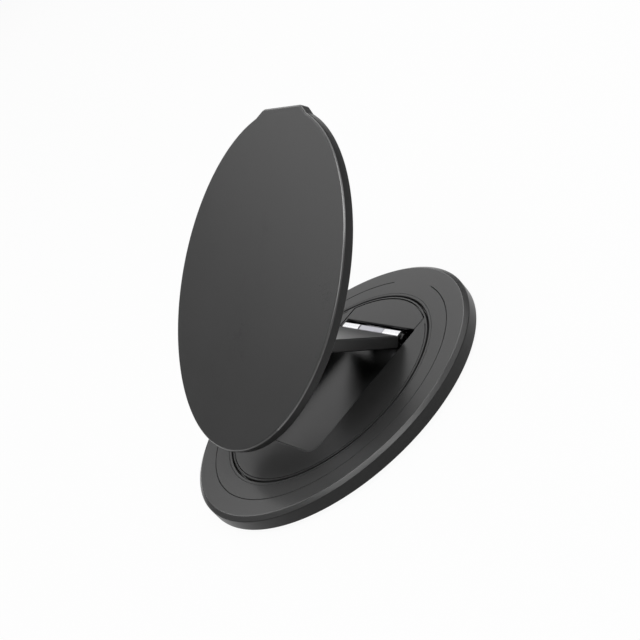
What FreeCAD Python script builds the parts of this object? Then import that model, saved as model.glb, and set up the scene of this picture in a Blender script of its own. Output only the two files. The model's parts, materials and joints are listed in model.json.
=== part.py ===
import FreeCAD, Part
import math
import os

Vector = FreeCAD.Vector

# Folding magnetic phone stand, in millimetres.
# Origin: centre of the base ring's underside. +Z up, X along the hinge pins, front towards -Y.
# Every piece is drawn folded flat, then the arm and the plate are turned up to the opened pose.

# Opened pose
arm_raise = 44.2            # arm above the deck, degrees
plate_tilt = 34.54          # plate above the deck, degrees

# Turntable
turntable_radius = 22.4
turntable_lift = 0.5
flange_width = 0.8          # flange that the bezel holds down
flange_thickness = 0.83
flange_play = 0.04          # between the flange and the bezel above it
hub_step = 0.9              # hub under the flange, inside the closing plate
hub_clearance = 0.2
line_inset = 0.45           # fine line on the deck, shared with the back edge of the hinge cover
line_width = 0.12
line_depth = 0.1
line_gap_angle = 76.0       # bare stretch of the line around the hinge cover

# Bezel that holds the turntable down, and the washer that it slides on
deck_gap = 0.28             # open running gap that shows around the turntable
slip_washer_thickness = 0.3
slip_washer_inset = 0.4     # from the hub

# Base ring
bore_clearance = 0.12       # around the flange
bore_wall = 0.68
cavity_width = 4.0          # room for the magnets
rim_width = 3.0             # solid rim outside that room
rim_lift = 0.72             # lower edge of the outer wall above the desk
rim_height = 2.34
rim_chamfer_height = 0.58
rim_chamfer_width = 0.85
edge_break = 0.1            # small bevel along the seams that show
groove_inset = 4.45
groove_width = 0.26
groove_depth = 0.1
groove_gap_angle = 26.0     # bare stretch of the groove at the back

# Closing plate and pad under the ring
pad_thickness = 0.4
pad_inner_inset = 0.5       # from both edges of the closing plate
pad_outer_inset = 0.6
ring_cover_thickness = 0.7
skirt_width = 1.0           # rim outside the closing plate

# Magnets and their steel backing
magnet_count = 18
magnet_gap_angle = 1.0
magnet_thickness = 1.2
magnet_clearance = 0.1
yoke_thickness = 0.44

# Pocket that takes the folded arm
pocket_side_gap = 0.8
pocket_front_gap = 1.39
pocket_corner_radius = 2.0

# Hinge bay and its cover
cover_thickness = 0.5
cover_gap = 0.25            # behind the round knuckles, below the open slit
cover_ledge = 1.0
cover_finger_reach = 0.4    # finger of the cover beside the pin's head, past the axis
bay_side_gap = 0.3

# Hinges
hinge_setback = 8.4         # axis of the lower hinge, from the turntable's edge
arm_length = 24.93          # from axis to axis
knuckle_radius = 1.25
knuckle_shoulder = 0.67     # flat backs of the lower knuckles, level with the deck
pin_radius = 0.5
pin_head_radius = 0.7
pin_head_length = 0.2
hinge_side_gap = 0.8        # left end of the knuckles, from the pocket's wall
stack_room = 3.35           # right end of the knuckles, from the pocket's wall
left_knuckle_length = 5.7
right_knuckle_length = 5.47
knuckle_slit = 0.35         # open slit on the left of the arm's knuckle
knuckle_gap = 0.08          # on its right
leaf_thickness = 0.5
leaf_depth = 5.0
base_leaf_screw_count = 2
washer_radius = 1.1
washer_thickness = 0.22
spring_thickness = 0.16
spring_rise = 0.14
nut_across_flats = 1.9
nut_length = 0.85
pin_thread_end = 0.25

# Arm
arm_half_width = 11.2
arm_thickness = 2.35
arm_drop = 0.28             # middle of the arm below the two axes
arm_setback = 2.5           # ends of the arm from the axes
arm_end_radius = 0.5
arm_edge_radius = 0.3
knuckle_clearance = 0.1     # leaf around a knuckle that turns in it
tongue_thickness = 0.9
tongue_depth = 6.5

# Plate
plate_inset = 0.28          # inside the ring's outline
plate_thickness = 1.8
plate_edge_bevel = 0.2
fold_gap = 0.47             # between the folded plate and the deck
tab_rise = 0.05
tab_half_width = 7.0
tab_flare = 2.5
tab_corner_radius = 2.4
tab_root_radius = 0.8
plate_leaf_front = 5.4
plate_leaf_back = 2.4
plate_leaf_screw_count = 3

# Small screws
screw_radius = 0.4
screw_head_radius = 0.7
screw_head_height = 0.35

# Clearances
seat_gap = 0.02             # glued, pressed or screwed seats
running_gap = 0.03          # turning fits
panel_gap = 0.05            # around inlaid panels

# Radii that follow from the sizes above
hub_radius = turntable_radius - hub_step
line_radius = turntable_radius - line_inset
flange_radius = turntable_radius + flange_width
bezel_inner_radius = turntable_radius + deck_gap
bore_radius = flange_radius + bore_clearance
cavity_inner_radius = bore_radius + bore_wall
cavity_outer_radius = cavity_inner_radius + cavity_width
ring_radius = cavity_outer_radius + rim_width
groove_radius = ring_radius - groove_inset
ring_cover_radius = ring_radius - skirt_width
ring_cover_inner_radius = hub_radius + hub_clearance
pad_inner_radius = ring_cover_inner_radius + pad_inner_inset
pad_outer_radius = ring_cover_radius - pad_outer_inset
slip_washer_inner_radius = hub_radius + slip_washer_inset
plate_radius = ring_radius - plate_inset

# Levels that follow from them
ring_cover_top = pad_thickness + ring_cover_thickness
rim_top = rim_lift + rim_height
deck = rim_top + rim_chamfer_height
cavity_top = ring_cover_top + magnet_thickness + yoke_thickness + seat_gap
slip_washer_top = ring_cover_top + slip_washer_thickness
flange_low = slip_washer_top + running_gap
flange_high = flange_low + flange_thickness
bezel_low = flange_high + flange_play
hinge_z = deck - knuckle_radius
arm_middle = hinge_z - arm_drop
pocket_floor = min(hinge_z - knuckle_radius, arm_middle - arm_thickness / 2) - panel_gap
bay_floor = hinge_z - leaf_thickness / 2
plate_back = deck + fold_gap
plate_front = plate_back + plate_thickness

# Places of the hinges and of the pocket around them
hinge_y = turntable_radius - hinge_setback
plate_hinge_y = hinge_y - arm_length
pocket_half_width = arm_half_width + pocket_side_gap
pocket_front = plate_hinge_y - knuckle_radius - pocket_front_gap
knuckle_left = hinge_side_gap - pocket_half_width
knuckle_right = pocket_half_width - stack_room
arm_knuckle_left = knuckle_left + left_knuckle_length + knuckle_slit
arm_knuckle_right = knuckle_right - right_knuckle_length - knuckle_gap
knuckle_swing = math.hypot(knuckle_radius, knuckle_shoulder)
cover_front = hinge_y + knuckle_radius + cover_gap
bay_left = knuckle_left - bay_side_gap
bay_front = cover_front - panel_gap
finger_front = hinge_y - cover_finger_reach
bay_radius = line_radius - cover_ledge
tab_root_half_width = tab_half_width + tab_flare


def face_of(points):
    corners = [Vector(*point) for point in points]
    return Part.Face(Part.makePolygon(corners + corners[:1]))


def turned(profile, angle=360.0, start=0.0):
    """Solid of revolution about Z from a closed (radius, height) outline."""
    face = face_of([(radius, 0, height) for radius, height in profile])
    solid = face.revolve(Vector(0, 0, 0), Vector(0, 0, 1), angle)
    solid.rotate(Vector(0, 0, 0), Vector(0, 0, 1), start)
    return solid


def band(inner, outer, low, high, angle=360.0, start=0.0):
    return turned([(inner, low), (outer, low), (outer, high), (inner, high)], angle, start)


def disc(radius, low, high, x=0.0, y=0.0):
    return Part.makeCylinder(radius, high - low, Vector(x, y, low))


def block(x_low, x_high, y_low, y_high, z_low, z_high):
    return Part.makeBox(x_high - x_low, y_high - y_low, z_high - z_low, Vector(x_low, y_low, z_low))


def rod(radius, x_low, x_high, y, z=hinge_z):
    return Part.makeCylinder(radius, x_high - x_low, Vector(x_low, y, z), Vector(1, 0, 0))


def tube(inner, outer, x_low, x_high, y):
    return rod(outer, x_low, x_high, y).cut(rod(inner, x_low, x_high, y))


def one_solid(shape):
    return shape.removeSplitter().Solids[0]


def edges_at_height(shape, height):
    return [edge for edge in shape.Edges
            if abs(edge.BoundBox.ZMin - height) < 1e-6 and abs(edge.BoundBox.ZMax - height) < 1e-6]


def spread(low, high, count):
    step = (high - low) / count
    return [low + step * (index + 0.5) for index in range(count)]


def screw(x, y, head_face, length, up):
    """Countersunk screw with its head flush with head_face and its thread along +Z or -Z."""
    body = turned([(0, 0), (screw_head_radius, 0), (screw_radius, screw_head_height),
                   (screw_radius, length), (0, length)])
    if not up:
        body.rotate(Vector(0, 0, 0), Vector(1, 0, 0), 180)
    body.translate(Vector(x, y, head_face))
    return body


def screw_hole(x, y, head_face, length, up):
    """Room for that screw, wider by the seat gap all round."""
    head = screw_head_radius + seat_gap
    shank = screw_radius + seat_gap
    room = turned([(0, -seat_gap), (head, -seat_gap), (head, 0), (shank, screw_head_height),
                   (shank, length), (0, length)])
    if not up:
        room.rotate(Vector(0, 0, 0), Vector(1, 0, 0), 180)
    room.translate(Vector(x, y, head_face))
    return room


def open_groove(radius, width, depth, gap_angle):
    """V-shaped groove in the deck, with a bare stretch at the back."""
    profile = [(radius - width / 2, deck), (radius, deck - depth), (radius + width / 2, deck)]
    return turned(profile, 360 - gap_angle, 90 + gap_angle / 2)


# Base ring and what is inside it

def ring_housing():
    recess_radius = ring_cover_radius + panel_gap
    outline = [
        (bore_radius, ring_cover_top),
        (bore_radius, deck),
        (ring_radius - rim_chamfer_width, deck),
        (ring_radius, rim_top),
        (ring_radius, rim_lift),
        (recess_radius, rim_lift),
        (recess_radius, ring_cover_top),
        (cavity_outer_radius, ring_cover_top),
        (cavity_outer_radius, cavity_top),
        (cavity_inner_radius, cavity_top),
        (cavity_inner_radius, ring_cover_top),
    ]
    groove = open_groove(groove_radius, groove_width, groove_depth, groove_gap_angle)
    return one_solid(turned(outline).cut(groove))


def ring_cover():
    return band(ring_cover_inner_radius, ring_cover_radius, pad_thickness, ring_cover_top)


def contact_pad():
    return band(pad_inner_radius, pad_outer_radius, 0, pad_thickness)


def ring_magnets():
    pitch = 360 / magnet_count
    return [band(cavity_inner_radius + magnet_clearance, cavity_outer_radius - magnet_clearance,
                 ring_cover_top, ring_cover_top + magnet_thickness,
                 pitch - magnet_gap_angle, pitch * index + magnet_gap_angle / 2)
            for index in range(magnet_count)]


def magnet_yoke():
    low = ring_cover_top + magnet_thickness
    return band(cavity_inner_radius + magnet_clearance, cavity_outer_radius - magnet_clearance,
                low, low + yoke_thickness)


def bezel_ring():
    outer = bore_radius - seat_gap
    outline = [
        (bezel_inner_radius, bezel_low),
        (outer, bezel_low),
        (outer, deck - edge_break),
        (outer - edge_break, deck),
        (bezel_inner_radius, deck),
    ]
    return turned(outline)


def slip_washer():
    return band(slip_washer_inner_radius, flange_radius, ring_cover_top, slip_washer_top)


# Turntable with its pocket, the hinge bay and its cover

def leaf_screw_places():
    y = hinge_y + knuckle_radius + leaf_depth / 2
    return [(x, y) for x in spread(knuckle_left, knuckle_right, base_leaf_screw_count)]


def leaf_screw_length():
    return leaf_thickness + (bay_floor - turntable_lift) / 2


def pocket_room():
    """Room for the folded arm, and behind it for the knuckles, beside the cover's finger."""
    arm_end = finger_front - panel_gap
    room = block(-pocket_half_width, pocket_half_width, pocket_front, arm_end, pocket_floor, deck)
    corners = [edge for edge in room.Edges
               if abs(edge.BoundBox.YMax - pocket_front) < 1e-6 and edge.BoundBox.ZLength > 1]
    room = room.makeFillet(pocket_corner_radius, corners)
    return room.fuse(block(bay_left, pocket_half_width, arm_end, bay_front, pocket_floor, deck))


def segment_room(x_low, x_high, y_low, radius, low, high):
    """Space between a straight front and a round back, over the hinge."""
    return disc(radius, low, high).common(block(x_low, x_high, y_low, radius, low, high))


def cover_room(gap):
    """Shape of the hinge cover with its finger at the left, wider by gap all round."""
    low = deck - cover_thickness
    left = panel_gap - gap - pocket_half_width
    room = segment_room(left, -left, cover_front - gap, line_radius - panel_gap + gap, low, deck)
    finger = block(left, knuckle_left - panel_gap, finger_front - gap, cover_front, low, deck)
    return room.fuse(finger).removeSplitter()


def turntable():
    outline = [
        (0, turntable_lift),
        (hub_radius, turntable_lift),
        (hub_radius, flange_low),
        (flange_radius, flange_low),
        (flange_radius, flange_high),
        (turntable_radius, flange_high),
        (turntable_radius, deck - edge_break),
        (turntable_radius - edge_break, deck),
        (0, deck),
    ]
    line = open_groove(line_radius, line_width, line_depth, line_gap_angle)
    body = turned(outline).cut(line).cut(pocket_room())
    body = body.cut(segment_room(bay_left, -bay_left, bay_front, bay_radius, bay_floor, deck))
    body = body.cut(cover_room(panel_gap))
    for x, y in leaf_screw_places():
        body = body.cut(screw_hole(x, y, bay_floor + leaf_thickness, leaf_screw_length() + seat_gap, False))
    return one_solid(body)


def hinge_cover():
    body = one_solid(cover_room(0))
    return body.makeChamfer(edge_break, edges_at_height(body, deck))


def outer_knuckles():
    return [(knuckle_left, knuckle_left + left_knuckle_length),
            (knuckle_right - right_knuckle_length, knuckle_right)]


def knuckle_room():
    """Gap in the lower leaf for the arm's knuckle, whose flat swings wider than its round."""
    reach = knuckle_swing + knuckle_clearance
    (_, low), (high, _) = outer_knuckles()
    return block(low, high, hinge_y - reach, hinge_y + reach, hinge_z - reach, hinge_z + reach)


def base_hinge_leaf():
    plate = block(knuckle_left, knuckle_right, hinge_y, hinge_y + knuckle_radius + leaf_depth,
                  bay_floor, bay_floor + leaf_thickness)
    plate = plate.common(disc(bay_radius - panel_gap, bay_floor, bay_floor + leaf_thickness))
    plate = plate.cut(knuckle_room())
    for low, high in outer_knuckles():
        plate = plate.fuse(rod(knuckle_radius, low, high, hinge_y))
        plate = plate.fuse(block(low, high, hinge_y, hinge_y + knuckle_shoulder, bay_floor, deck))
    plate = plate.cut(rod(pin_radius + running_gap, knuckle_left, knuckle_right, hinge_y))
    for x, y in leaf_screw_places():
        plate = plate.cut(screw_hole(x, y, bay_floor + leaf_thickness, leaf_screw_length(), False))
    return one_solid(plate)


def base_leaf_screws():
    return [screw(x, y, bay_floor + leaf_thickness, leaf_screw_length(), False)
            for x, y in leaf_screw_places()]


# Friction stack and pin, the same on both hinges

def friction_start():
    return knuckle_right + running_gap


def spring_start():
    return friction_start() + washer_thickness


def nut_start():
    return spring_start() + spring_thickness + spring_rise


def hinge_pin(y):
    end = nut_start() + nut_length + pin_thread_end
    head_end = knuckle_left - running_gap
    pin = rod(pin_radius, head_end, end, y)
    head = rod(pin_head_radius, head_end - pin_head_length, head_end, y)
    return one_solid(pin.fuse(head))


def friction_washers(y):
    """A flat washer against the knuckle and a coned disc spring behind it."""
    bore = pin_radius + seat_gap
    flat = tube(bore, washer_radius, friction_start(), spring_start(), y)
    outline = [
        (spring_start() + spring_rise, bore),
        (spring_start() + spring_rise + spring_thickness, bore),
        (spring_start() + spring_thickness, washer_radius),
        (spring_start(), washer_radius),
    ]
    cone = face_of([(x, y + radius, hinge_z) for x, radius in outline])
    return [flat, cone.revolve(Vector(0, y, hinge_z), Vector(1, 0, 0), 360)]


def hinge_nut(y):
    corner_radius = nut_across_flats / 2 / math.cos(math.pi / 6)
    corners = [(nut_start(), y + corner_radius * math.cos(math.pi * side / 3),
                hinge_z + corner_radius * math.sin(math.pi * side / 3)) for side in range(6)]
    nut = face_of(corners).extrude(Vector(nut_length, 0, 0))
    return nut.cut(rod(pin_radius + seat_gap, nut_start(), nut_start() + nut_length, y))


# Arm, with a steel tongue let into each end

def tongue_span(y, inward):
    """Y range of a tongue, from its hinge axis into the arm. inward is -1 or 1 along Y."""
    tip = y + inward * tongue_depth
    return min(y, tip), max(y, tip)


def raised_flat():
    """Flat on the lower tongue's knuckle that comes level with the deck as the arm is raised."""
    flat = block(arm_knuckle_left, arm_knuckle_right, hinge_y, hinge_y + knuckle_shoulder, hinge_z, deck)
    flat.rotate(Vector(0, hinge_y, hinge_z), Vector(1, 0, 0), arm_raise)
    return flat


def arm_tongue(y, inward):
    y_low, y_high = tongue_span(y, inward)
    half = tongue_thickness / 2
    body = block(arm_knuckle_left, arm_knuckle_right, y_low, y_high, arm_middle - half, arm_middle + half)
    body = body.fuse(rod(knuckle_radius, arm_knuckle_left, arm_knuckle_right, y))
    if y == hinge_y:
        body = body.fuse(raised_flat())
    return one_solid(body.cut(rod(pin_radius + seat_gap, arm_knuckle_left, arm_knuckle_right, y)))


def tongue_slot(y, inward):
    y_low, y_high = tongue_span(y, inward)
    half = tongue_thickness / 2 + seat_gap
    return block(arm_knuckle_left - seat_gap, arm_knuckle_right + seat_gap,
                 y_low - seat_gap, y_high + seat_gap, arm_middle - half, arm_middle + half)


def fold_arm():
    half = arm_thickness / 2
    body = block(-arm_half_width, arm_half_width, plate_hinge_y + arm_setback, hinge_y - arm_setback,
                 arm_middle - half, arm_middle + half)
    end_edges = [edge for edge in body.Edges if edge.BoundBox.XLength > arm_half_width]
    body = body.makeFillet(arm_end_radius, end_edges)
    side_edges = [edge for edge in body.Edges if edge.BoundBox.XLength < 1e-6]
    body = body.makeFillet(arm_edge_radius, side_edges)
    for y, inward in ((hinge_y, -1), (plate_hinge_y, 1)):
        body = body.cut(tongue_slot(y, inward))
    return one_solid(body)


# Plate and the hinge leaf on its back

def plate_leaf_screw_places():
    y = plate_hinge_y - (plate_leaf_front + knuckle_radius) / 2
    return [(x, y) for x in spread(knuckle_left, knuckle_right, plate_leaf_screw_count)]


def plate_leaf_screw_length():
    return leaf_thickness + (plate_thickness - leaf_thickness) / 2


def plate_leaf_room(gap):
    return block(knuckle_left - gap, knuckle_right + gap,
                 plate_hinge_y - plate_leaf_front - gap, plate_hinge_y + plate_leaf_back + gap,
                 plate_back, plate_back + leaf_thickness + gap)


def tilt_plate():
    top = plate_radius + tab_rise
    root = math.sqrt(plate_radius ** 2 - tab_root_half_width ** 2)
    tab = face_of([(-tab_half_width, top, plate_back), (-tab_root_half_width, root, plate_back),
                   (0, 0, plate_back),
                   (tab_root_half_width, root, plate_back), (tab_half_width, top, plate_back)])
    body = disc(plate_radius, plate_back, plate_front)
    body = body.fuse(tab.extrude(Vector(0, 0, plate_thickness))).removeSplitter()

    def upright_edges(half_width):
        return [edge for edge in body.Edges if edge.BoundBox.ZLength > plate_thickness / 2
                and edge.BoundBox.YMin > 0 and abs(abs(edge.BoundBox.Center.x) - half_width) < 1e-3]

    body = body.makeFillet(tab_corner_radius, upright_edges(tab_half_width))
    body = body.makeFillet(tab_root_radius, upright_edges(tab_root_half_width))
    for level in (plate_front, plate_back):
        body = body.makeChamfer(plate_edge_bevel, edges_at_height(body, level))
    body = body.cut(plate_leaf_room(seat_gap))
    for x, y in plate_leaf_screw_places():
        body = body.cut(screw_hole(x, y, plate_back, plate_leaf_screw_length() + seat_gap, True))
    return one_solid(body)


def plate_hinge_leaf():
    body = plate_leaf_room(0)
    for low, high in outer_knuckles():
        body = body.fuse(block(low, high, plate_hinge_y - knuckle_radius, plate_hinge_y + knuckle_radius,
                               hinge_z, plate_back))
        body = body.fuse(rod(knuckle_radius, low, high, plate_hinge_y))
    body = body.cut(rod(pin_radius + running_gap, knuckle_left, knuckle_right, plate_hinge_y))
    for x, y in plate_leaf_screw_places():
        body = body.cut(screw_hole(x, y, plate_back, plate_leaf_screw_length(), True))
    return one_solid(body)


def plate_leaf_screws():
    return [screw(x, y, plate_back, plate_leaf_screw_length(), True) for x, y in plate_leaf_screw_places()]


# Opened pose and files

def raised(shapes):
    """Turn pieces of the arm up about the lower hinge."""
    for shape in shapes:
        shape.rotate(Vector(0, hinge_y, hinge_z), Vector(1, 0, 0), -arm_raise)
    return shapes


def tilted(shapes):
    """Carry pieces of the plate to the arm's raised end and tilt them there."""
    lift = math.radians(arm_raise)
    rise = Vector(0, arm_length * (1 - math.cos(lift)), arm_length * math.sin(lift))
    for shape in shapes:
        shape.rotate(Vector(0, plate_hinge_y, hinge_z), Vector(1, 0, 0), plate_tilt)
        shape.translate(rise)
    return shapes


def save(name, shapes):
    shape = shapes[0] if len(shapes) == 1 else Part.makeCompound(shapes)
    shape.exportStep(os.path.join("parts", name + ".step"))


os.makedirs("parts", exist_ok=True)

save("ring_housing", [ring_housing()])
save("ring_cover", [ring_cover()])
save("contact_pad", [contact_pad()])
save("ring_magnets", ring_magnets())
save("magnet_yoke", [magnet_yoke()])
save("bezel_ring", [bezel_ring()])
save("slip_washer", [slip_washer()])

save("turntable", [turntable()])
save("hinge_cover", [hinge_cover()])
save("base_hinge_leaf", [base_hinge_leaf()])
save("base_leaf_screws", base_leaf_screws())

save("fold_arm", raised([fold_arm()]))
for end, axis_y, into_arm in (("lower", hinge_y, -1), ("upper", plate_hinge_y, 1)):
    save(end + "_arm_tongue", raised([arm_tongue(axis_y, into_arm)]))
    save(end + "_hinge_pin", raised([hinge_pin(axis_y)]))
    save(end + "_friction_washers", raised(friction_washers(axis_y)))
    save(end + "_hinge_nut", raised([hinge_nut(axis_y)]))

save("tilt_plate", tilted([tilt_plate()]))
save("plate_hinge_leaf", tilted([plate_hinge_leaf()]))
save("plate_leaf_screws", tilted(plate_leaf_screws()))
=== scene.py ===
import json
import math

import bmesh
import bpy
from mathutils import Matrix, Vector


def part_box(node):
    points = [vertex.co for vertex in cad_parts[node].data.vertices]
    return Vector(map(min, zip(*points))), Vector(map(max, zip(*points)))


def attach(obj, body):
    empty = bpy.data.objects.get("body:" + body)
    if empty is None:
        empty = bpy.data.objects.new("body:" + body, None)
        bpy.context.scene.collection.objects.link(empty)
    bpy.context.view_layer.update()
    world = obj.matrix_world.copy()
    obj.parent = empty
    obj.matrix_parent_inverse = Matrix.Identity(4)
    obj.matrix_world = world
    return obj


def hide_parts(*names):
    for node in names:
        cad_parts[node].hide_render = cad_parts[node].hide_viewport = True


# Folding phone stand: smooth shells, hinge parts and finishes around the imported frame. Sizes are in mm.
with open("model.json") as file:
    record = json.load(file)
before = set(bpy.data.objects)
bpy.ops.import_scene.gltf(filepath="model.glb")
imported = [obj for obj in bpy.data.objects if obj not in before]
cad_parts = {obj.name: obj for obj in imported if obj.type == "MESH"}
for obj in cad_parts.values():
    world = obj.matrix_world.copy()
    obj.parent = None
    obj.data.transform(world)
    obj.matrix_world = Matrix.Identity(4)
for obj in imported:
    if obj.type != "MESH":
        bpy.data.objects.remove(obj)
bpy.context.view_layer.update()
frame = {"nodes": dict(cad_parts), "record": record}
mm = 0.001
record = frame["record"]
bodyOf = {node: body for body, nodes in record["behaviour"]["bodies"].items() for node in nodes}
slotOf = {row["node"]: row["material_slot"] for row in record["subparts"]}
mountAt = {mount["name"]: mount for mount in record["mounts"]}
jointAt = {joint["name"]: joint for joint in record["behaviour"]["joints"]}
print("frame loaded,", len(frame["nodes"]), "nodes")


# Node trees

class Wire:
    # one socket of a tree, so that 1 - wire adds a Math node
    def __init__(self, net, socket):
        self.net = net
        self.socket = socket

    def maths(self, operation, first, second):
        return self.net.add("ShaderNodeMath", {"operation": operation}, {0: first, 1: second})

    def __add__(self, other):
        return self.maths("ADD", self, other)

    def __radd__(self, other):
        return self.maths("ADD", other, self)

    def __sub__(self, other):
        return self.maths("SUBTRACT", self, other)

    def __rsub__(self, other):
        return self.maths("SUBTRACT", other, self)

    def __mul__(self, other):
        return self.maths("MULTIPLY", self, other)

    def __rmul__(self, other):
        return self.maths("MULTIPLY", other, self)


class Net:
    def __init__(self, tree):
        self.tree = tree

    def add(self, kind, settings=None, sockets=None, output=0):
        node = self.tree.nodes.new(kind)
        for key, value in (settings or {}).items():
            setattr(node, key, value)
        for key, value in (sockets or {}).items():
            for single in value if isinstance(value, list) else [value]:
                if isinstance(single, Wire):
                    self.tree.links.new(single.socket, node.inputs[key])
                else:
                    node.inputs[key].default_value = single
        return Wire(self, node.outputs[output]) if len(node.outputs) else None

    def blend(self, factor, first, second):
        # socket numbers of the Mix node's colours
        return self.add("ShaderNodeMix", {"data_type": "RGBA"}, {0: factor, 6: first, 7: second}, 2)

    def noise(self, place, scale, detail):
        return self.add("ShaderNodeTexNoise", {}, {"Vector": place, "Scale": scale, "Detail": detail})

    def bump(self, height, depth, strength):
        return self.add("ShaderNodeBump", {}, {"Strength": strength, "Distance": depth * mm, "Height": height})


def newFinish(name, constants):
    # empty material with one Principled shader, whose fixed values go straight to its sockets
    material = bpy.data.materials.new(name)
    material.use_nodes = True
    net = Net(material.node_tree)
    shader = material.node_tree.nodes["Principled BSDF"]
    for socket, value in constants.items():
        shader.inputs[socket].default_value = value
    return material, net, shader


def feed(net, shader, **wires):
    for socket, wire in wires.items():
        net.tree.links.new(wire.socket, shader.inputs[socket.replace("_", " ")])


def grey(level, blue=0.0):
    return (level, level, level * (1 + blue), 1)


# Finishes

noiseMiddle = 0.5  # what a noise texture gives on average

shellLook = {"dark": 0.050, "light": 0.061, "blue": 0.0, "roughness": 0.29, "specular": 0.34,
             "cloudScale": 55, "cloudDetail": 3.0, "cloudShare": 0.6, "grainScale": 8300, "grainDetail": 2.0,
             "grainDepth": 0.006, "bump": 0.2, "polish": 0.05}
# edge finish, glossier than the shell, with a lighter colour as a painted highlight
glossAndHighlightEdgeLook = {**shellLook, "dark": 0.07, "light": 0.09, "roughness": 0.22, "specular": 1.0}
# side-wall finish, darker and duller than the shell: painted shade
paintedShadeWallLook = {**shellLook, "dark": 0.026, "light": 0.033, "roughness": 0.34, "specular": 0.14}


def satinShell(name, look):
    material, net, shader = newFinish(name, {"Specular IOR Level": look["specular"]})
    place = net.add("ShaderNodeTexCoord", output="Object")
    cloud = net.noise(place, look["cloudScale"], look["cloudDetail"])
    grain = net.noise(place, look["grainScale"], look["grainDetail"])
    tone = cloud * look["cloudShare"] + grain * (1 - look["cloudShare"])
    colour = net.blend(tone, grey(look["dark"], look["blue"]), grey(look["light"], look["blue"]))
    rough = (look["roughness"] + (cloud - noiseMiddle) * look["polish"]
             + (grain - noiseMiddle) * look["polish"])
    bump = net.bump(grain, look["grainDepth"], look["bump"])
    feed(net, shader, Base_Color=colour, Roughness=rough, Normal=bump)
    return material


steelLook = {"dark": 0.70, "light": 0.86, "blue": 0.02, "roughness": 0.13, "bump": 0.2,
             "hairScale": 900, "hairDetail": 4.0, "hairStretch": (6.0, 1.0, 1.0), "hairDepth": 0.002,
             "hairPolish": 0.12, "smearScale": 260.0, "smearDetail": 2.0, "smearPolish": 0.05}
knuckleLook = {**steelLook, "dark": 0.54, "light": 0.62, "blue": 0.08, "roughness": 0.3}


def polishedSteel(name, look):
    material, net, shader = newFinish(name, {"Metallic": 1.0})
    place = net.add("ShaderNodeTexCoord", output="Object")
    stretched = net.add("ShaderNodeMapping", {}, {"Vector": place, "Scale": look["hairStretch"]})
    hair = net.noise(stretched, look["hairScale"], look["hairDetail"])
    smear = net.noise(place, look["smearScale"], look["smearDetail"])
    colour = net.blend(smear, grey(look["dark"], look["blue"]), grey(look["light"], look["blue"]))
    rough = look["roughness"] + (hair - noiseMiddle) * look["hairPolish"] + smear * look["smearPolish"]
    bump = net.bump(hair, look["hairDepth"], look["bump"])
    feed(net, shader, Base_Color=colour, Roughness=rough, Normal=bump)
    return material


hardwareLook = {"dark": 0.035, "light": 0.075, "roughness": 0.22, "bump": 0.25,
                "turnScale": 2600, "turnSway": 2.0, "turnDetail": 2.0, "turnDepth": 0.004, "turnPolish": 0.06,
                "oilScale": 700.0, "oilDetail": 3.0, "oilPolish": 0.16}


def turnedSteel():
    look = hardwareLook
    material, net, shader = newFinish("turnedSteel", {"Metallic": 1.0})
    place = net.add("ShaderNodeTexCoord", output="Object")
    turning = net.add("ShaderNodeTexWave", {"wave_type": "BANDS", "bands_direction": "X"},
                      {"Vector": place, "Scale": look["turnScale"], "Distortion": look["turnSway"],
                       "Detail": look["turnDetail"]}, "Fac")
    oil = net.noise(place, look["oilScale"], look["oilDetail"])
    colour = net.blend(oil, grey(look["dark"]), grey(look["light"]))
    rough = look["roughness"] + (oil - noiseMiddle) * look["oilPolish"] + turning * look["turnPolish"]
    bump = net.bump(turning, look["turnDepth"], look["bump"])
    feed(net, shader, Base_Color=colour, Roughness=rough, Normal=bump)
    return material


nickelLook = {"dark": 0.52, "darkBlue": -0.04, "light": 0.64, "lightBlue": -0.06, "roughness": 0.24,
              "spotScale": 420, "spotDetail": 4.0, "polish": 0.14}


def nickelPlate():
    look = nickelLook
    material, net, shader = newFinish("nickelPlate", {"Metallic": 1.0})
    place = net.add("ShaderNodeTexCoord", output="Object")
    spots = net.noise(place, look["spotScale"], look["spotDetail"])
    colour = net.blend(spots, grey(look["dark"], look["darkBlue"]), grey(look["light"], look["lightBlue"]))
    rough = look["roughness"] + (spots - noiseMiddle) * look["polish"]
    feed(net, shader, Base_Color=colour, Roughness=rough)
    return material


mouldedLook = {"cellShare": 0.5, "hazeSpread": 18, "hazeDetail": 3.0, "polish": 0.1, "bump": 0.4}


def mouldedFinish(name, look):
    # fine moulded texture: spread cells under a little noise
    material, net, shader = newFinish(name, {"Specular IOR Level": look["specular"]})
    place = net.add("ShaderNodeTexCoord", output="Object")
    cells = net.add("ShaderNodeTexVoronoi", {"feature": "SMOOTH_F1"},
                    {"Vector": place, "Scale": look["cellScale"]})
    haze = net.noise(place, look["cellScale"] / look["hazeSpread"], look["hazeDetail"])
    tone = cells * look["cellShare"] + haze * (1 - look["cellShare"])
    colour = net.blend(tone, grey(look["dark"], look["blue"]), grey(look["light"], look["blue"]))
    rough = look["roughness"] + (haze - noiseMiddle) * look["polish"]
    bump = net.bump(cells, look["depth"], look["bump"])
    feed(net, shader, Base_Color=colour, Roughness=rough, Normal=bump)
    return material


closingPlateLook = {**mouldedLook, "dark": 0.012, "light": 0.020, "blue": 0.02, "roughness": 0.55,
                    "specular": 0.4, "cellScale": 4200, "depth": 0.012}
siliconeLook = {**mouldedLook, "dark": 0.010, "light": 0.016, "blue": 0.0, "roughness": 0.72,
                "specular": 0.35, "cellScale": 2800, "depth": 0.02}
slipLook = {**mouldedLook, "dark": 0.66, "light": 0.78, "blue": -0.03, "roughness": 0.42,
            "specular": 0.5, "cellScale": 3000, "depth": 0.004}

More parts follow.
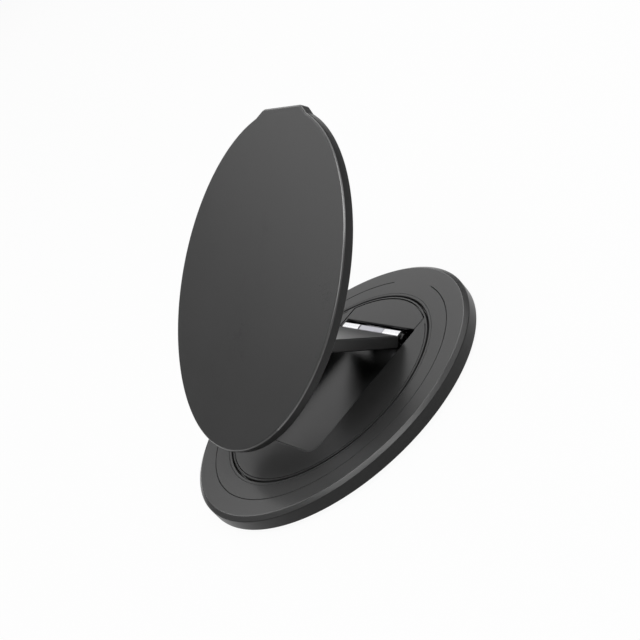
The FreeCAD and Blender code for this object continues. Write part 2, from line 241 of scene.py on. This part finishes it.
finishOf = {
    "shell": satinShell("satinShell", shellLook),
    "hinge_steel": polishedSteel("polishedSteel", steelLook),
    "hardware": turnedSteel(),
    "magnet": nickelPlate(),
    "closing_plate": mouldedFinish("closingPlate", closingPlateLook),
    "pad": mouldedFinish("siliconePad", siliconeLook),
    "slip": mouldedFinish("slipWasher", slipLook),
}
# glossier rounded edges, lighter in colour as a painted highlight
glossAndHighlightEdge = satinShell("glossAndHighlightEdge", glossAndHighlightEdgeLook)
# darker side walls as painted shade
paintedShadeWall = satinShell("paintedShadeWall", paintedShadeWallLook)
satinSteel = polishedSteel("satinSteel", knuckleLook)
# the arm's knuckles are duller than the leaves beside them; the pins take the dark hardware finish as painted
# shade in their slits
finishOfNode = {"lower_arm_tongue": satinSteel, "upper_arm_tongue": satinSteel,
                "lower_hinge_pin": finishOf["hardware"], "upper_hinge_pin": finishOf["hardware"]}
print("finishes made for", len(finishOf), "slots")


# Mesh helpers

# lengths in mm, angles in degrees
meshing = {"merge": 0.0003, "crease": 34, "turnSteps": 480, "cornerSteps": 4, "quarterSteps": 6,
           "sharpest": 0.3, "near": 1e-4, "flatAngle": 0.6,
           "bevelAngle": 38, "bevelSegments": 2, "cutterRise": 1}


def roundCorners(corners, steps=meshing["cornerSteps"]):
    # corners are (x, y, radius); each one with a radius becomes an arc
    points = []
    for index, (x, y, radius) in enumerate(corners):
        here = Vector((x, y, 0))
        if not radius:
            points.append((x, y))
            continue
        before = (Vector((*corners[index - 1][:2], 0)) - here).normalized()
        after = (Vector((*corners[(index + 1) % len(corners)][:2], 0)) - here).normalized()
        half = before.angle(after) / 2
        centre = here + (before + after).normalized() * (radius / math.sin(half))
        start = here + before * (radius / math.tan(half)) - centre
        end = here + after * (radius / math.tan(half)) - centre
        for step in range(steps + 1):
            point = centre + start.slerp(end, step / steps) * radius
            points.append((point.x, point.y))
    return points


def insetLoop(points, distance):
    # moves a counterclockwise outline inwards along its own normals
    moved = []
    for index, (x, y) in enumerate(points):
        here = Vector((x, y))
        before = (here - Vector(points[index - 1])).normalized()
        after = (Vector(points[(index + 1) % len(points)]) - here).normalized()
        along = (before + after).normalized()
        inwards = Vector((-along.y, along.x))
        point = here + inwards * (distance / max(meshing["sharpest"], along.dot(before)))
        moved.append((point.x, point.y))
    return moved


def arcPoints(radius, start, end, steps):
    return [(radius * math.cos(start + (end - start) * step / steps),
             radius * math.sin(start + (end - start) * step / steps)) for step in range(steps + 1)]


def joinLoops(bm, loops, ringed):
    # quads between neighbouring closed loops, and from the last back to the first if ringed
    pairs = list(zip(loops, loops[1:]))
    if ringed:
        pairs.append((loops[-1], loops[0]))
    for near, far in pairs:
        for index in range(len(near)):
            after = (index + 1) % len(near)
            bm.faces.new((near[index], near[after], far[after], far[index]))


def lathe(outline, sink=None, capped=False):
    # outline of (radius, height) turned about Z; sink lowers points, so that a groove can stop short
    steps = meshing["turnSteps"]
    bm = bmesh.new()
    loops = []
    for radius, height in outline:
        loop = []
        for step in range(steps):
            angle = 2 * math.pi * step / steps
            drop = sink(radius, height, angle) if sink else 0
            loop.append(bm.verts.new((radius * math.cos(angle) * mm, radius * math.sin(angle) * mm,
                                      (height - drop) * mm)))
        loops.append(loop)
    joinLoops(bm, loops, not capped)
    if capped:
        bm.faces.new(loops[0])
        bm.faces.new(loops[-1])
    return bm


def quarter(radius):
    # inset and height along a rounded edge, from its upright end to its level end
    steps = meshing["quarterSteps"]
    turns = [math.pi / 2 * step / steps for step in range(steps + 1)]
    return [(radius * (1 - math.cos(turn)), radius * math.sin(turn)) for turn in turns]


def wall(outline, levels):
    # wall through a counterclockwise outline at (inset, height) levels, capped at both ends
    bm = bmesh.new()
    loops = [[bm.verts.new((x * mm, y * mm, height * mm)) for x, y in insetLoop(outline, inset)]
             for inset, height in levels]
    joinLoops(bm, loops, False)
    bm.faces.new(loops[0])
    bm.faces.new(loops[-1])
    return bm


def slab(outline, low, high):
    return wall(outline, [(0.0, low), (0.0, high)])


def placeAt(origin, first, second, third):
    # stands a piece at origin, with its own X, Y and Z along the three directions
    return Matrix.Translation(origin) @ Matrix((first, second, third)).transposed().to_4x4()


def meshPiece(bm, name, place=None):
    bmesh.ops.remove_doubles(bm, verts=bm.verts, dist=meshing["merge"] * mm)
    bmesh.ops.recalc_face_normals(bm, faces=bm.faces)
    if place:
        bm.transform(place)
    mesh = bpy.data.meshes.new(name)
    bm.to_mesh(mesh)
    bm.free()
    piece = bpy.data.objects.new(name, mesh)
    bpy.context.scene.collection.objects.link(piece)
    return piece


def settle(piece):
    # turns the live modifiers into the plain mesh
    bpy.context.view_layer.update()
    graph = bpy.context.evaluated_depsgraph_get()
    mesh = bpy.data.meshes.new_from_object(piece.evaluated_get(graph))
    piece.modifiers.clear()
    piece.data = mesh


def carve(piece, cutters):
    for cutter in cutters:
        modifier = piece.modifiers.new("cut", "BOOLEAN")
        modifier.operation = "DIFFERENCE"
        modifier.solver = "EXACT"
        modifier.object = cutter
    settle(piece)
    for cutter in cutters:
        bpy.data.objects.remove(cutter)


def dress(piece, node):
    # smooth shading with crisp creases, its finish, and its place in the frame
    mesh = piece.data
    mesh.shade_smooth()
    mesh.set_sharp_from_angle(angle=math.radians(meshing["crease"]))
    mesh.materials.clear()
    mesh.materials.append(finishOfNode.get(node, finishOf[slotOf[node]]))
    weighted = piece.modifiers.new("flatFaces", "WEIGHTED_NORMAL")
    weighted.keep_sharp = True
    settle(piece)
    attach(piece, bodyOf[node])
    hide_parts(node)
    return piece


def refinish(piece, finish, picks):
    # gives the picked faces a finish of their own
    piece.data.materials.append(finish)
    for polygon in piece.data.polygons:
        if picks(polygon):
            polygon.material_index = len(piece.data.materials) - 1


def softCopy(node, name, edge):
    # merged copy of a CAD node, with its flat triangles joined and its crisp edges rounded
    source = frame["nodes"][node].data
    bm = bmesh.new()
    verts = [bm.verts.new(vert.co) for vert in source.vertices]
    for polygon in source.polygons:
        bm.faces.new([verts[index] for index in polygon.vertices])
    bmesh.ops.remove_doubles(bm, verts=bm.verts, dist=meshing["merge"] * mm)
    bmesh.ops.dissolve_limit(bm, angle_limit=math.radians(meshing["flatAngle"]),
                             verts=bm.verts, edges=bm.edges)
    piece = meshPiece(bm, name)
    bevel = piece.modifiers.new("softEdges", "BEVEL")
    bevel.width = edge * mm
    bevel.segments = meshing["bevelSegments"]
    bevel.limit_method = "ANGLE"
    bevel.angle_limit = math.radians(meshing["bevelAngle"])
    settle(piece)
    return dress(piece, node)


def arcGroove(radius, depth, top, gap, fade):
    # depth of a groove at its own radius, with a bare stretch centred on +Y
    def sink(pointRadius, height, angle):
        if max(abs(pointRadius - radius), abs(height - top)) > meshing["near"]:
            return 0.0
        away = abs((math.degrees(angle) - 90 + 180) % 360 - 180) - gap / 2
        return depth * min(1.0, max(0.0, away / fade))
    return sink


# Base ring

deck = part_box("ring_housing")[1].z / mm
ringRadius = -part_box("ring_housing")[0].x / mm
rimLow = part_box("ring_housing")[0].z / mm
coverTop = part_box("ring_cover")[1].z / mm
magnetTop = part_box("magnet_yoke")[1].z / mm

housing = {"chamferWidth": 0.85, "chamferHeight": 0.58, "edge": 0.25, "rimEdge": 0.3, "foot": 0.22,
           "bore": 23.32, "boreEdge": 0.05, "coverSeat": 30.05,
           "cavityIn": 24.0, "cavityOut": 28.0, "cavityGap": 0.02,
           "groove": 26.55, "grooveWidth": 0.2, "grooveDepth": 0.2, "grooveGap": 26.0, "grooveFade": 1.2,
           "edgeLow": 0.84, "edgeHigh": 0.999, "paintedShadeFrom": 0.6}


def ringHousing():
    look = housing
    roof = magnetTop + look["cavityGap"]
    half = look["grooveWidth"] / 2
    outline = roundCorners([
        (look["bore"], coverTop, 0),
        (look["bore"], deck, look["boreEdge"]),
        (look["groove"] - half, deck, 0),
        (look["groove"], deck, 0),
        (look["groove"] + half, deck, 0),
        (ringRadius - look["chamferWidth"], deck, look["edge"]),
        (ringRadius, deck - look["chamferHeight"], look["rimEdge"]),
        (ringRadius, rimLow, look["foot"]),
        (look["coverSeat"], rimLow, 0),
        (look["coverSeat"], coverTop, 0),
        (look["cavityOut"], coverTop, 0),
        (look["cavityOut"], roof, 0),
        (look["cavityIn"], roof, 0),
        (look["cavityIn"], coverTop, 0),
    ])
    sink = arcGroove(look["groove"], look["grooveDepth"], deck, look["grooveGap"], look["grooveFade"])
    piece = dress(meshPiece(lathe(outline, sink), "ringHousing"), "ring_housing")
    corner = ringRadius - look["chamferWidth"]
    # painted highlight: lighter, glossier finish on the upward rounding at the chamfer's inner edge
    refinish(piece, glossAndHighlightEdge, lambda polygon: abs(polygon.center.xy.length / mm - corner) < look["edge"]
             and look["edgeLow"] < polygon.normal.z < look["edgeHigh"])
    # painted shade: darker, duller finish on the rim rounding and the outer wall
    refinish(piece, paintedShadeWall, lambda polygon: polygon.center.xy.length / mm > corner
             and polygon.normal.z < look["paintedShadeFrom"])
    return piece


bezel = {"inner": 22.68, "innerEdge": 0.25, "outerEdge": 0.05}


def bezelRing():
    low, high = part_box("bezel_ring")
    outer = high.x / mm
    outline = roundCorners([
        (bezel["inner"], low.z / mm, 0),
        (outer, low.z / mm, 0),
        (outer, high.z / mm, bezel["outerEdge"]),
        (bezel["inner"], high.z / mm, bezel["innerEdge"]),
    ])
    return dress(meshPiece(lathe(outline), "bezelRing"), "bezel_ring")


underside = {"padInner": 22.2, "padEdge": 0.15, "coverInner": 21.7, "coverEdge": 0.12}


def flatRing(node, name, inner, edge):
    # plain ring under the housing, with its lower edges rounded
    low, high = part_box(node)
    outer = high.x / mm
    outline = roundCorners([
        (inner, low.z / mm, edge),
        (outer, low.z / mm, edge),
        (outer, high.z / mm, 0),
        (inner, high.z / mm, 0),
    ])
    return dress(meshPiece(lathe(outline), name), node)


ringHousing()
bezelRing()
flatRing("ring_cover", "ringCover", underside["coverInner"], underside["coverEdge"])
flatRing("contact_pad", "contactPad", underside["padInner"], underside["padEdge"])
print("base ring made")


# Turntable, with its pocket and hinge bay

table = {"radius": 22.37, "edge": 0.03, "flangeLow": 1.43, "flangeHigh": 2.26, "hub": 21.5,
         "line": 21.95, "lineWidth": 0.17, "lineDepth": 0.3, "lineGap": 76.0, "lineFade": 1.2,
         "pocketHalf": 12.0, "pocketFront": -13.57, "pocketCorner": 2.0, "cornerSteps": 10,
         "pocketFloor": 0.885, "pocketEdge": 0.45,
         "bayHalf": 11.5, "bayFront": 15.45, "bayRadius": 20.95, "bayFloor": 2.14, "recessRadius": 21.95,
         "fingerFront": 13.55, "fingerSide": -11.2, "overlap": 0.2, "coverGap": 0.13, "sideGap": 0.24,
         "rimBack": 14.95, "rimBackLeft": 12.6, "backSteps": 72, "coverEdge": 0.04}


def roundBack(half, radius):
    # arc behind the hinge, from its right end to its left
    start = math.acos(half / radius)
    return arcPoints(radius, start, math.pi - start, table["backSteps"])


def turntable():
    look = table
    low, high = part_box("turntable")
    flange = high.x / mm
    half = look["lineWidth"] / 2
    outline = roundCorners([
        (look["hub"], low.z / mm, 0),
        (look["hub"], look["flangeLow"], 0),
        (flange, look["flangeLow"], 0),
        (flange, look["flangeHigh"], 0),
        (look["radius"], look["flangeHigh"], 0),
        (look["radius"], deck, look["edge"]),
        (look["line"] + half, deck, 0),
        (look["line"], deck, 0),
        (look["line"] - half, deck, 0),
    ])
    sink = arcGroove(look["line"], look["lineDepth"], deck, look["lineGap"], look["lineFade"])
    piece = meshPiece(lathe(outline, sink, capped=True), "turntableDisc")
    above = deck + meshing["cutterRise"]
    frontCorners = [
        (-look["pocketHalf"], look["pocketFront"], look["pocketCorner"]),
        (look["pocketHalf"], look["pocketFront"], look["pocketCorner"]),
    ]
    pocket = roundCorners(frontCorners + [
        (look["pocketHalf"], look["bayFront"], 0),
        (-look["bayHalf"], look["bayFront"], 0),
        (-look["bayHalf"], look["fingerFront"], 0),
        (-look["pocketHalf"], look["fingerFront"], 0),
    ], look["cornerSteps"])
    front = look["bayFront"] - look["overlap"]
    bay = [(-look["bayHalf"], front), (look["bayHalf"], front)] + roundBack(look["bayHalf"], look["bayRadius"])
    finger = look["fingerFront"] - look["overlap"]
    recessHalf = look["pocketHalf"] + look["sideGap"]
    recess = [(-recessHalf, finger), (look["fingerSide"], finger), (look["fingerSide"], front),
              (recessHalf, front)] + roundBack(recessHalf, look["recessRadius"] + look["coverGap"])
    rim = roundCorners(frontCorners + [
        (look["pocketHalf"], look["rimBack"], 0),
        (0, look["rimBack"], 0),
        (0, look["rimBackLeft"], 0),
        (-look["pocketHalf"], look["rimBackLeft"], 0),
    ], look["cornerSteps"])
    rounding = [(-inset, deck - look["pocketEdge"] + height) for inset, height in quarter(look["pocketEdge"])]
    carve(piece, [
        meshPiece(slab(pocket, look["pocketFloor"], above), "pocketRoom"),
        meshPiece(slab(bay, look["bayFloor"], above), "bayRoom"),
        meshPiece(slab(recess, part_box("hinge_cover")[0].z / mm, above), "coverRoom"),
        meshPiece(wall(rim, rounding + [(-look["pocketEdge"], above)]), "rimRoom"),
    ])
    return dress(piece, "turntable")


turntable()
softCopy("hinge_cover", "hingeCover", table["coverEdge"])
print("turntable made")


# Hinge parts, rounded from the frame's own nodes, and the arm between the two hinges

edgeOf = {"base_hinge_leaf": 0.06, "plate_hinge_leaf": 0.06,
          "arm_tongue": 0.06, "hinge_pin": 0.08, "friction_washers": 0.03, "hinge_nut": 0.08}

arm = {"setback": 2.5, "halfWidth": 11.2, "thickness": 2.35, "drop": 0.28,
       "endRadius": 0.5, "cornerSteps": 8, "edge": 0.3}
armHinge = Vector(jointAt["arm_hinge"]["pos_m"])
plateHinge = Vector(jointAt["plate_hinge"]["pos_m"])
armAlong = (plateHinge - armHinge).normalized()
armAcross = Vector((-1, 0, 0))
armPlace = placeAt(armHinge, armAlong, armAcross.cross(armAlong), armAcross)


def foldArm():
    # profile from hinge to hinge, drawn across the width; the tongues run into its ends
    look = arm
    end = (plateHinge - armHinge).length / mm - look["setback"]
    low = -look["drop"] - look["thickness"] / 2
    high = low + look["thickness"]
    corners = [(look["setback"], low), (end, low), (end, high), (look["setback"], high)]
    outline = roundCorners([(*corner, look["endRadius"]) for corner in corners], look["cornerSteps"])
    right = [(inset, look["halfWidth"] - look["edge"] + height) for inset, height in quarter(look["edge"])]
    left = [(inset, -height) for inset, height in reversed(right)]
    return dress(meshPiece(wall(outline, left + right), "foldArm", armPlace), "fold_arm")


softCopy("base_hinge_leaf", "baseHingeLeaf", edgeOf["base_hinge_leaf"])
foldArm()
for end in ("lower", "upper"):
    for kind in ("arm_tongue", "hinge_pin", "friction_washers", "hinge_nut"):
        softCopy(end + "_" + kind, end + kind.title().replace("_", ""), edgeOf[kind])
softCopy("plate_hinge_leaf", "plateHingeLeaf", edgeOf["plate_hinge_leaf"])
print("hinges and arm made")


# Plate with its finger tab

plateFace = Vector(mountAt["plate_face"]["pos_m"])
plateOut = Vector(mountAt["plate_face"]["axis"]).normalized()
plateAcross = Vector((1, 0, 0))
plateUp = plateOut.cross(plateAcross)
platePlace = placeAt(plateFace, plateAcross, plateUp, plateOut)

plate = {"thickness": 1.8, "frontEdge": 0.45, "backEdge": 0.2,
         "edgeLow": 0.3, "edgeHigh": 0.97, "edgeEnd": -0.8,
         "tabRise": 0.05, "tabHalf": 7.0, "tabFlare": 2.5,
         "tabCorner": 2.4, "tabRoot": 0.8, "turnSteps": 420, "cornerSteps": 8,
         "leafLeft": -11.22, "leafRight": 8.67, "leafFront": -16.35, "leafBack": -8.51, "leafDepth": 0.52}


def tiltPlate():
    look = plate
    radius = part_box("tilt_plate")[1].x / mm
    rootHalf = look["tabHalf"] + look["tabFlare"]
    rootTurn = math.acos(rootHalf / radius)
    top = radius + look["tabRise"]
    rim = arcPoints(radius, math.pi - rootTurn, 2 * math.pi + rootTurn, look["turnSteps"])
    corners = [(x, y, 0) for x, y in rim]
    corners[0] = (*rim[0], look["tabRoot"])
    corners[-1] = (*rim[-1], look["tabRoot"])
    corners += [(look["tabHalf"], top, look["tabCorner"]), (-look["tabHalf"], top, look["tabCorner"])]
    outline = roundCorners(corners, look["cornerSteps"])
    front = [(inset, height - look["frontEdge"]) for inset, height in quarter(look["frontEdge"])]
    back = [(inset, look["backEdge"] - look["thickness"] - height)
            for inset, height in quarter(look["backEdge"])]
    piece = meshPiece(wall(outline, list(reversed(back)) + front), "tiltPlate", platePlace)
    leaf = [(look["leafLeft"], look["leafFront"]), (look["leafRight"], look["leafFront"]),
            (look["leafRight"], look["leafBack"]), (look["leafLeft"], look["leafBack"])]
    room = slab(leaf, -look["thickness"] - meshing["cutterRise"], look["leafDepth"] - look["thickness"])
    carve(piece, [meshPiece(room, "leafRoom", platePlace)])
    dress(piece, "tilt_plate")

    def highlightedEdgeFace(polygon):
        # rounding of the front edge, apart from its lowest stretch, which carries the painted highlight
        facing = polygon.normal.dot(plateOut)
        sideways = math.sqrt(max(0.0, 1 - facing * facing))
        return (look["edgeLow"] < facing < look["edgeHigh"]
                and polygon.normal.dot(plateUp) > look["edgeEnd"] * sideways)

    # painted highlight: lighter, glossier finish on the front-edge rounding, left off its lowest stretch
    refinish(piece, glossAndHighlightEdge, highlightedEdgeFace)
    # painted shade: darker, duller finish on the plate's side wall
    refinish(piece, paintedShadeWall, lambda polygon: abs(polygon.normal.dot(plateOut)) < look["edgeLow"])
    return piece


tiltPlate()
print("plate made")


# Small countersunk screws with a hexagon socket, set out in a row by Geometry Nodes

screwTreeInputs = [
    ("Count", "NodeSocketInt", 1),
    ("Spacing", "NodeSocketFloat", 0.01),
    ("Head Radius", "NodeSocketFloat", 0.0007),
    ("Head Height", "NodeSocketFloat", 0.00035),
    ("Shank Radius", "NodeSocketFloat", 0.0004),
    ("Length", "NodeSocketFloat", 0.001),
    ("Socket Radius", "NodeSocketFloat", 0.0003),
    ("Socket Depth", "NodeSocketFloat", 0.0002),
    ("Finish", "NodeSocketMaterial", None),
]
screwSides = {"round": 48, "socket": 6}


def screwTree():
    tree = bpy.data.node_groups.new("screwRow", "GeometryNodeTree")
    for label, kind, value in screwTreeInputs:
        socket = tree.interface.new_socket(label, in_out="INPUT", socket_type=kind)
        if value is not None:
            socket.default_value = value
    tree.interface.new_socket("Geometry", in_out="OUTPUT", socket_type="NodeSocketGeometry")
    net = Net(tree)
    inputs = net.add("NodeGroupInput").socket.node
    given = {socket.name: Wire(net, socket) for socket in inputs.outputs if socket.name}

    def lowered(shape, depth):
        drop = net.add("ShaderNodeCombineXYZ", {}, {2: 0 - depth})
        return net.add("GeometryNodeTransform", {}, {"Geometry": shape, "Translation": drop})

    head = net.add("GeometryNodeMeshCone", {}, {
        "Vertices": screwSides["round"], "Radius Top": given["Head Radius"],
        "Radius Bottom": given["Shank Radius"], "Depth": given["Head Height"]})
    shank = net.add("GeometryNodeMeshCylinder", {}, {
        "Vertices": screwSides["round"], "Radius": given["Shank Radius"], "Depth": given["Length"]})
    socket = net.add("GeometryNodeMeshCylinder", {}, {
        "Vertices": screwSides["socket"], "Radius": given["Socket Radius"], "Depth": given["Socket Depth"] * 2})
    body = net.add("GeometryNodeMeshBoolean", {"operation": "UNION", "solver": "EXACT"}, {
        "Mesh 2": [lowered(head, given["Head Height"]), lowered(shank, given["Length"] * 0.5)]})
    screw = net.add("GeometryNodeMeshBoolean", {"operation": "DIFFERENCE", "solver": "EXACT"}, {
        "Mesh 1": body, "Mesh 2": socket})
    step = net.add("ShaderNodeCombineXYZ", {}, {0: given["Spacing"]})
    row = net.add("GeometryNodeMeshLine", {}, {"Count": given["Count"], "Offset": step})
    screws = net.add("GeometryNodeInstanceOnPoints", {}, {"Points": row, "Instance": screw})
    plain = net.add("GeometryNodeRealizeInstances", {}, {"Geometry": screws})
    finished = net.add("GeometryNodeSetMaterial", {}, {"Geometry": plain, "Material": given["Finish"]})
    net.add("NodeGroupOutput", {}, {"Geometry": finished})
    return tree


screwSize = {"Head Radius": 0.7, "Head Height": 0.35, "Shank Radius": 0.4,
             "Socket Radius": 0.34, "Socket Depth": 0.2}
screwRows = {
    "plate_leaf_screws": {"count": 3, "first": (-7.8917, -14.255, -1.8), "spacing": 6.6167, "length": 1.15},
    "base_leaf_screws": {"count": 2, "first": (-6.2375, 17.75, 2.64), "spacing": 9.925, "length": 1.32},
}
rowTree = screwTree()


def screwRow(node, name, place):
    # the row runs along X from its first screw; heads face +Z before place turns them
    row = screwRows[node]
    piece = meshPiece(bmesh.new(), name)
    modifier = piece.modifiers.new("screwRow", "NODES")
    modifier.node_group = rowTree
    values = {label: size * mm for label, size in screwSize.items()}
    values.update({"Count": row["count"], "Spacing": row["spacing"] * mm, "Length": row["length"] * mm,
                   "Finish": finishOf[slotOf[node]]})
    for item in rowTree.interface.items_tree:
        if item.in_out == "INPUT":
            modifier[item.identifier] = values[item.name]
    settle(piece)
    piece.data.transform(place)
    return dress(piece, node)


def firstScrew(node):
    return Matrix.Translation(Vector(screwRows[node]["first"]) * mm)


screwRow("plate_leaf_screws", "plateLeafScrews",
         platePlace @ firstScrew("plate_leaf_screws") @ Matrix.Rotation(math.pi, 4, "X"))
screwRow("base_leaf_screws", "baseLeafScrews", firstScrew("base_leaf_screws"))
print("screws made")


# Inner pieces keep the frame's shape and take a finish

for node, piece in frame["nodes"].items():
    if not piece.hide_render:
        piece.data.materials.clear()
        piece.data.materials.append(finishOf[slotOf[node]])
print("inner pieces dressed")


# Floor, light and camera

stage = {"size": 8.0, "colour": 0.7, "glow": 0.95, "world": 0.03}


def floorFinish():
    # pale diffuse floor that shows white to the camera and in reflections, and keeps a soft shadow
    material = bpy.data.materials.new("paleFloor")
    material.use_nodes = True
    net = Net(material.node_tree)
    material.node_tree.nodes.clear()
    camera, glossy, through = (net.add("ShaderNodeLightPath", output=name)
                               for name in ("Is Camera Ray", "Is Glossy Ray", "Is Transmission Ray"))
    plain = net.add("ShaderNodeBsdfDiffuse", {}, {"Color": grey(stage["colour"])})
    white = net.add("ShaderNodeEmission", {}, {"Color": grey(1.0), "Strength": 1.0})
    seen = (camera + glossy + through) * stage["glow"]
    mixed = net.add("ShaderNodeMixShader", {}, {0: seen, 1: plain, 2: white})
    net.add("ShaderNodeOutputMaterial", {}, {"Surface": mixed})
    return material


def makeFloor():
    bm = bmesh.new()
    bmesh.ops.create_grid(bm, x_segments=1, y_segments=1, size=stage["size"] / 2)
    floor = meshPiece(bm, "floor")
    floor.data.materials.append(floorFinish())


def makeWorld():
    world = bpy.data.worlds.new("studio")
    world.use_nodes = True
    background = world.node_tree.nodes["Background"]
    background.inputs["Color"].default_value = grey(1.0)
    background.inputs["Strength"].default_value = stage["world"]
    bpy.context.scene.world = world


# each lamp: direction from aim, distance, width and height in metres, and power in watts
lampSizes = {
    "topLamp": {"towards": (0.0, 0.0, 1.0), "distance": 0.75, "size": (0.3, 0.8), "power": 2.9},
    "rightLamp": {"towards": (0.38, 0.05, 0.92), "distance": 0.75, "size": (0.3, 0.3), "power": 1.45},
    "backLamp": {"towards": (-0.25, 0.71, 0.65), "distance": 0.88, "size": (0.8, 0.4), "power": 1.1},
    "leftLamp": {"towards": (-0.78, -0.08, 0.62), "distance": 0.9, "size": (0.5, 0.4), "power": 0.68},
    "leftBackLamp": {"towards": (-0.80, 0.41, 0.42), "distance": 0.9, "size": (0.5, 0.35), "power": 0.62},
    "frontLamp": {"towards": (0.40, -0.50, 0.77), "distance": 0.8, "size": (0.3, 0.3), "power": 0.95},
    "rightBackLamp": {"towards": (0.58, 0.5, 0.64), "distance": 0.9, "size": (0.6, 0.5), "power": 1.75},
}
aim = Vector((0, 0, 0.02))


def makeLamp(name, lamp):
    light = bpy.data.lights.new(name, "AREA")
    light.shape = "RECTANGLE"
    light.size, light.size_y = lamp["size"]
    light.energy = lamp["power"]
    holder = bpy.data.objects.new(name, light)
    bpy.context.scene.collection.objects.link(holder)
    towards = Vector(lamp["towards"]).normalized()
    holder.location = aim + towards * lamp["distance"]
    holder.rotation_euler = (-towards).to_track_quat("-Z", "Y").to_euler()


view = {"place": (206.6628, -60.1224, 110.0777), "azimuth": -18.0917, "elevation": 23.9824, "roll": 41.834,
        "lens": 73.292, "sensor": 36.0, "clipStart": 0.01}


def makeCamera():
    # stands where the fitted view says, looks back along its azimuth and elevation, then rolls
    data = bpy.data.cameras.new("photoView")
    data.lens = view["lens"]
    data.sensor_width = view["sensor"]
    data.clip_start = view["clipStart"]
    camera = bpy.data.objects.new("photoView", data)
    bpy.context.scene.collection.objects.link(camera)
    turn = math.radians(view["azimuth"])
    rise = math.radians(view["elevation"])
    back = Vector((math.cos(rise) * math.cos(turn), math.cos(rise) * math.sin(turn), math.sin(rise)))
    level = back.to_track_quat("Z", "Y").to_matrix().to_4x4()
    camera.matrix_world = (Matrix.Translation(Vector(view["place"]) * mm) @ level
                           @ Matrix.Rotation(math.radians(-view["roll"]), 4, "Z"))
    bpy.context.scene.camera = camera


makeFloor()
makeWorld()
for lampName, lamp in lampSizes.items():
    makeLamp(lampName, lamp)
makeCamera()
bpy.context.scene.view_settings.view_transform = "Standard"
print("stage made")
